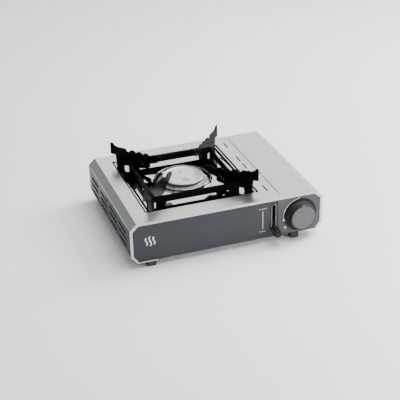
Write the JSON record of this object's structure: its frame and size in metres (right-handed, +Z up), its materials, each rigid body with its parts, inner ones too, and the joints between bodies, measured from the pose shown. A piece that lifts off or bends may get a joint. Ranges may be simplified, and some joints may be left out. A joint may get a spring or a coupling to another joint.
{
  "type": "camping stove",
  "caption": "Compact camping stove: folded steel body with a burner, drip tray and pan support, a hinged lid over a gas cartridge bay, a control knob and a cartridge lock lever.",
  "frame": {"origin": "on the surface the feet stand on, under the middle of the whole outline", "axes": "+Z up, +X to the right as seen by the cook, the controls at -Y"},
  "size_m": [0.35, 0.2972, 0.1265],
  "materials": {
    "brushed_steel": "brushed",
    "base_steel": "mill",
    "grey_paint": "satin",
    "rear_paint": "satin",
    "light_grey": "fine texture",
    "black_plastic": "matt",
    "knob_grey": "satin",
    "foot_rubber": "matt",
    "polished_steel": "polished",
    "black_enamel": "gloss enamel",
    "cast_alloy": "cast",
    "ring_steel": "turned",
    "cap_alloy": "pressed",
    "zinc_screw": "plated",
    "brass": "turned",
    "tube_steel": "drawn",
    "ceramic": "glazed",
    "igniter_plastic": "matt",
    "lead_sleeve": "silicone"
  },
  "bodies": {
    "stove": {"body_shell": "brushed_steel", "base_pan": "base_steel", "front_panel": "grey_paint", "rear_panel": "rear_paint", "control_plate": "light_grey", "knob_bezel": "black_plastic", "lever_bezel": "black_plastic", "foot_front_left": "foot_rubber", "foot_front_right": "foot_rubber", "foot_rear_left": "foot_rubber", "foot_rear_right": "foot_rubber", "burner_body": "cast_alloy", "burner_ring": "ring_steel", "burner_cap": "cap_alloy", "burner_bracket": "base_steel", "burner_screws": "zinc_screw", "mixer_tube": "tube_steel", "gas_jet": "brass", "gas_pipe": "tube_steel", "regulator_body": "cast_alloy", "diaphragm_cover": "ring_steel", "bay_wall": "base_steel", "notch_guide": "base_steel", "piezo_igniter": "igniter_plastic", "electrode_insulator": "ceramic", "electrode_pin": "zinc_screw", "ignition_lead": "lead_sleeve", "heat_shield": "base_steel", "lever_pivot_pin": "zinc_screw", "lever_bracket": "base_steel", "sled_rails": "base_steel", "lid_hinge_pin": "zinc_screw", "hinge_lugs": "base_steel", "base_screws": "zinc_screw"},
    "knob": {"knob": "knob_grey", "knob_shaft": "zinc_screw"},
    "lever": {"lock_lever": "black_plastic", "drive_pin": "zinc_screw"},
    "carriage": {"cartridge_sled": "base_steel", "sled_pad": "foot_rubber"},
    "lid": {"lid": "brushed_steel"},
    "drip_tray": {"drip_tray": "polished_steel"},
    "pan_support": {"pan_arm_back_right": "black_enamel", "pan_arm_back_left": "black_enamel", "pan_arm_front_left": "black_enamel", "pan_arm_front_right": "black_enamel", "pan_bar_front": "black_enamel", "pan_bar_right": "black_enamel", "pan_bar_back": "black_enamel", "pan_bar_left": "black_enamel"}
  },
  "joints": [
    {"name": "knob_turn", "type": "hinge", "parent": "stove", "child": "knob", "pos_m": [0.133, -0.12689, 0.0445], "axis": [0, -1, 0], "range_deg": [0, 127]},
    {"name": "lever_tilt", "type": "hinge", "parent": "stove", "child": "lever", "pos_m": [0.0835, -0.05189, 0.0495], "axis": [-1, 0, 0], "range_deg": [0, 31]},
    {"name": "carriage_slide", "type": "slide", "parent": "stove", "child": "carriage", "axis": [0, 1, 0], "range_m": [0, 0.0069]},
    {"name": "lid_hinge", "type": "hinge", "parent": "stove", "child": "lid", "pos_m": [0.1025, 0.01086, 0.0811], "axis": [0, -1, 0], "range_deg": [0, 100]},
    {"name": "tray_lift", "type": "slide", "parent": "stove", "child": "drip_tray", "axis": [0, 0, 1], "range_m": [0, 0.06]},
    {"name": "support_lift", "type": "slide", "parent": "drip_tray", "child": "pan_support", "axis": [0, 0, 1], "range_m": [0, 0.05]}
  ],
  "couplings": [
    {"joint": "carriage_slide", "follows": "lever_tilt", "m_per_rad": 0.012743}
  ]
}
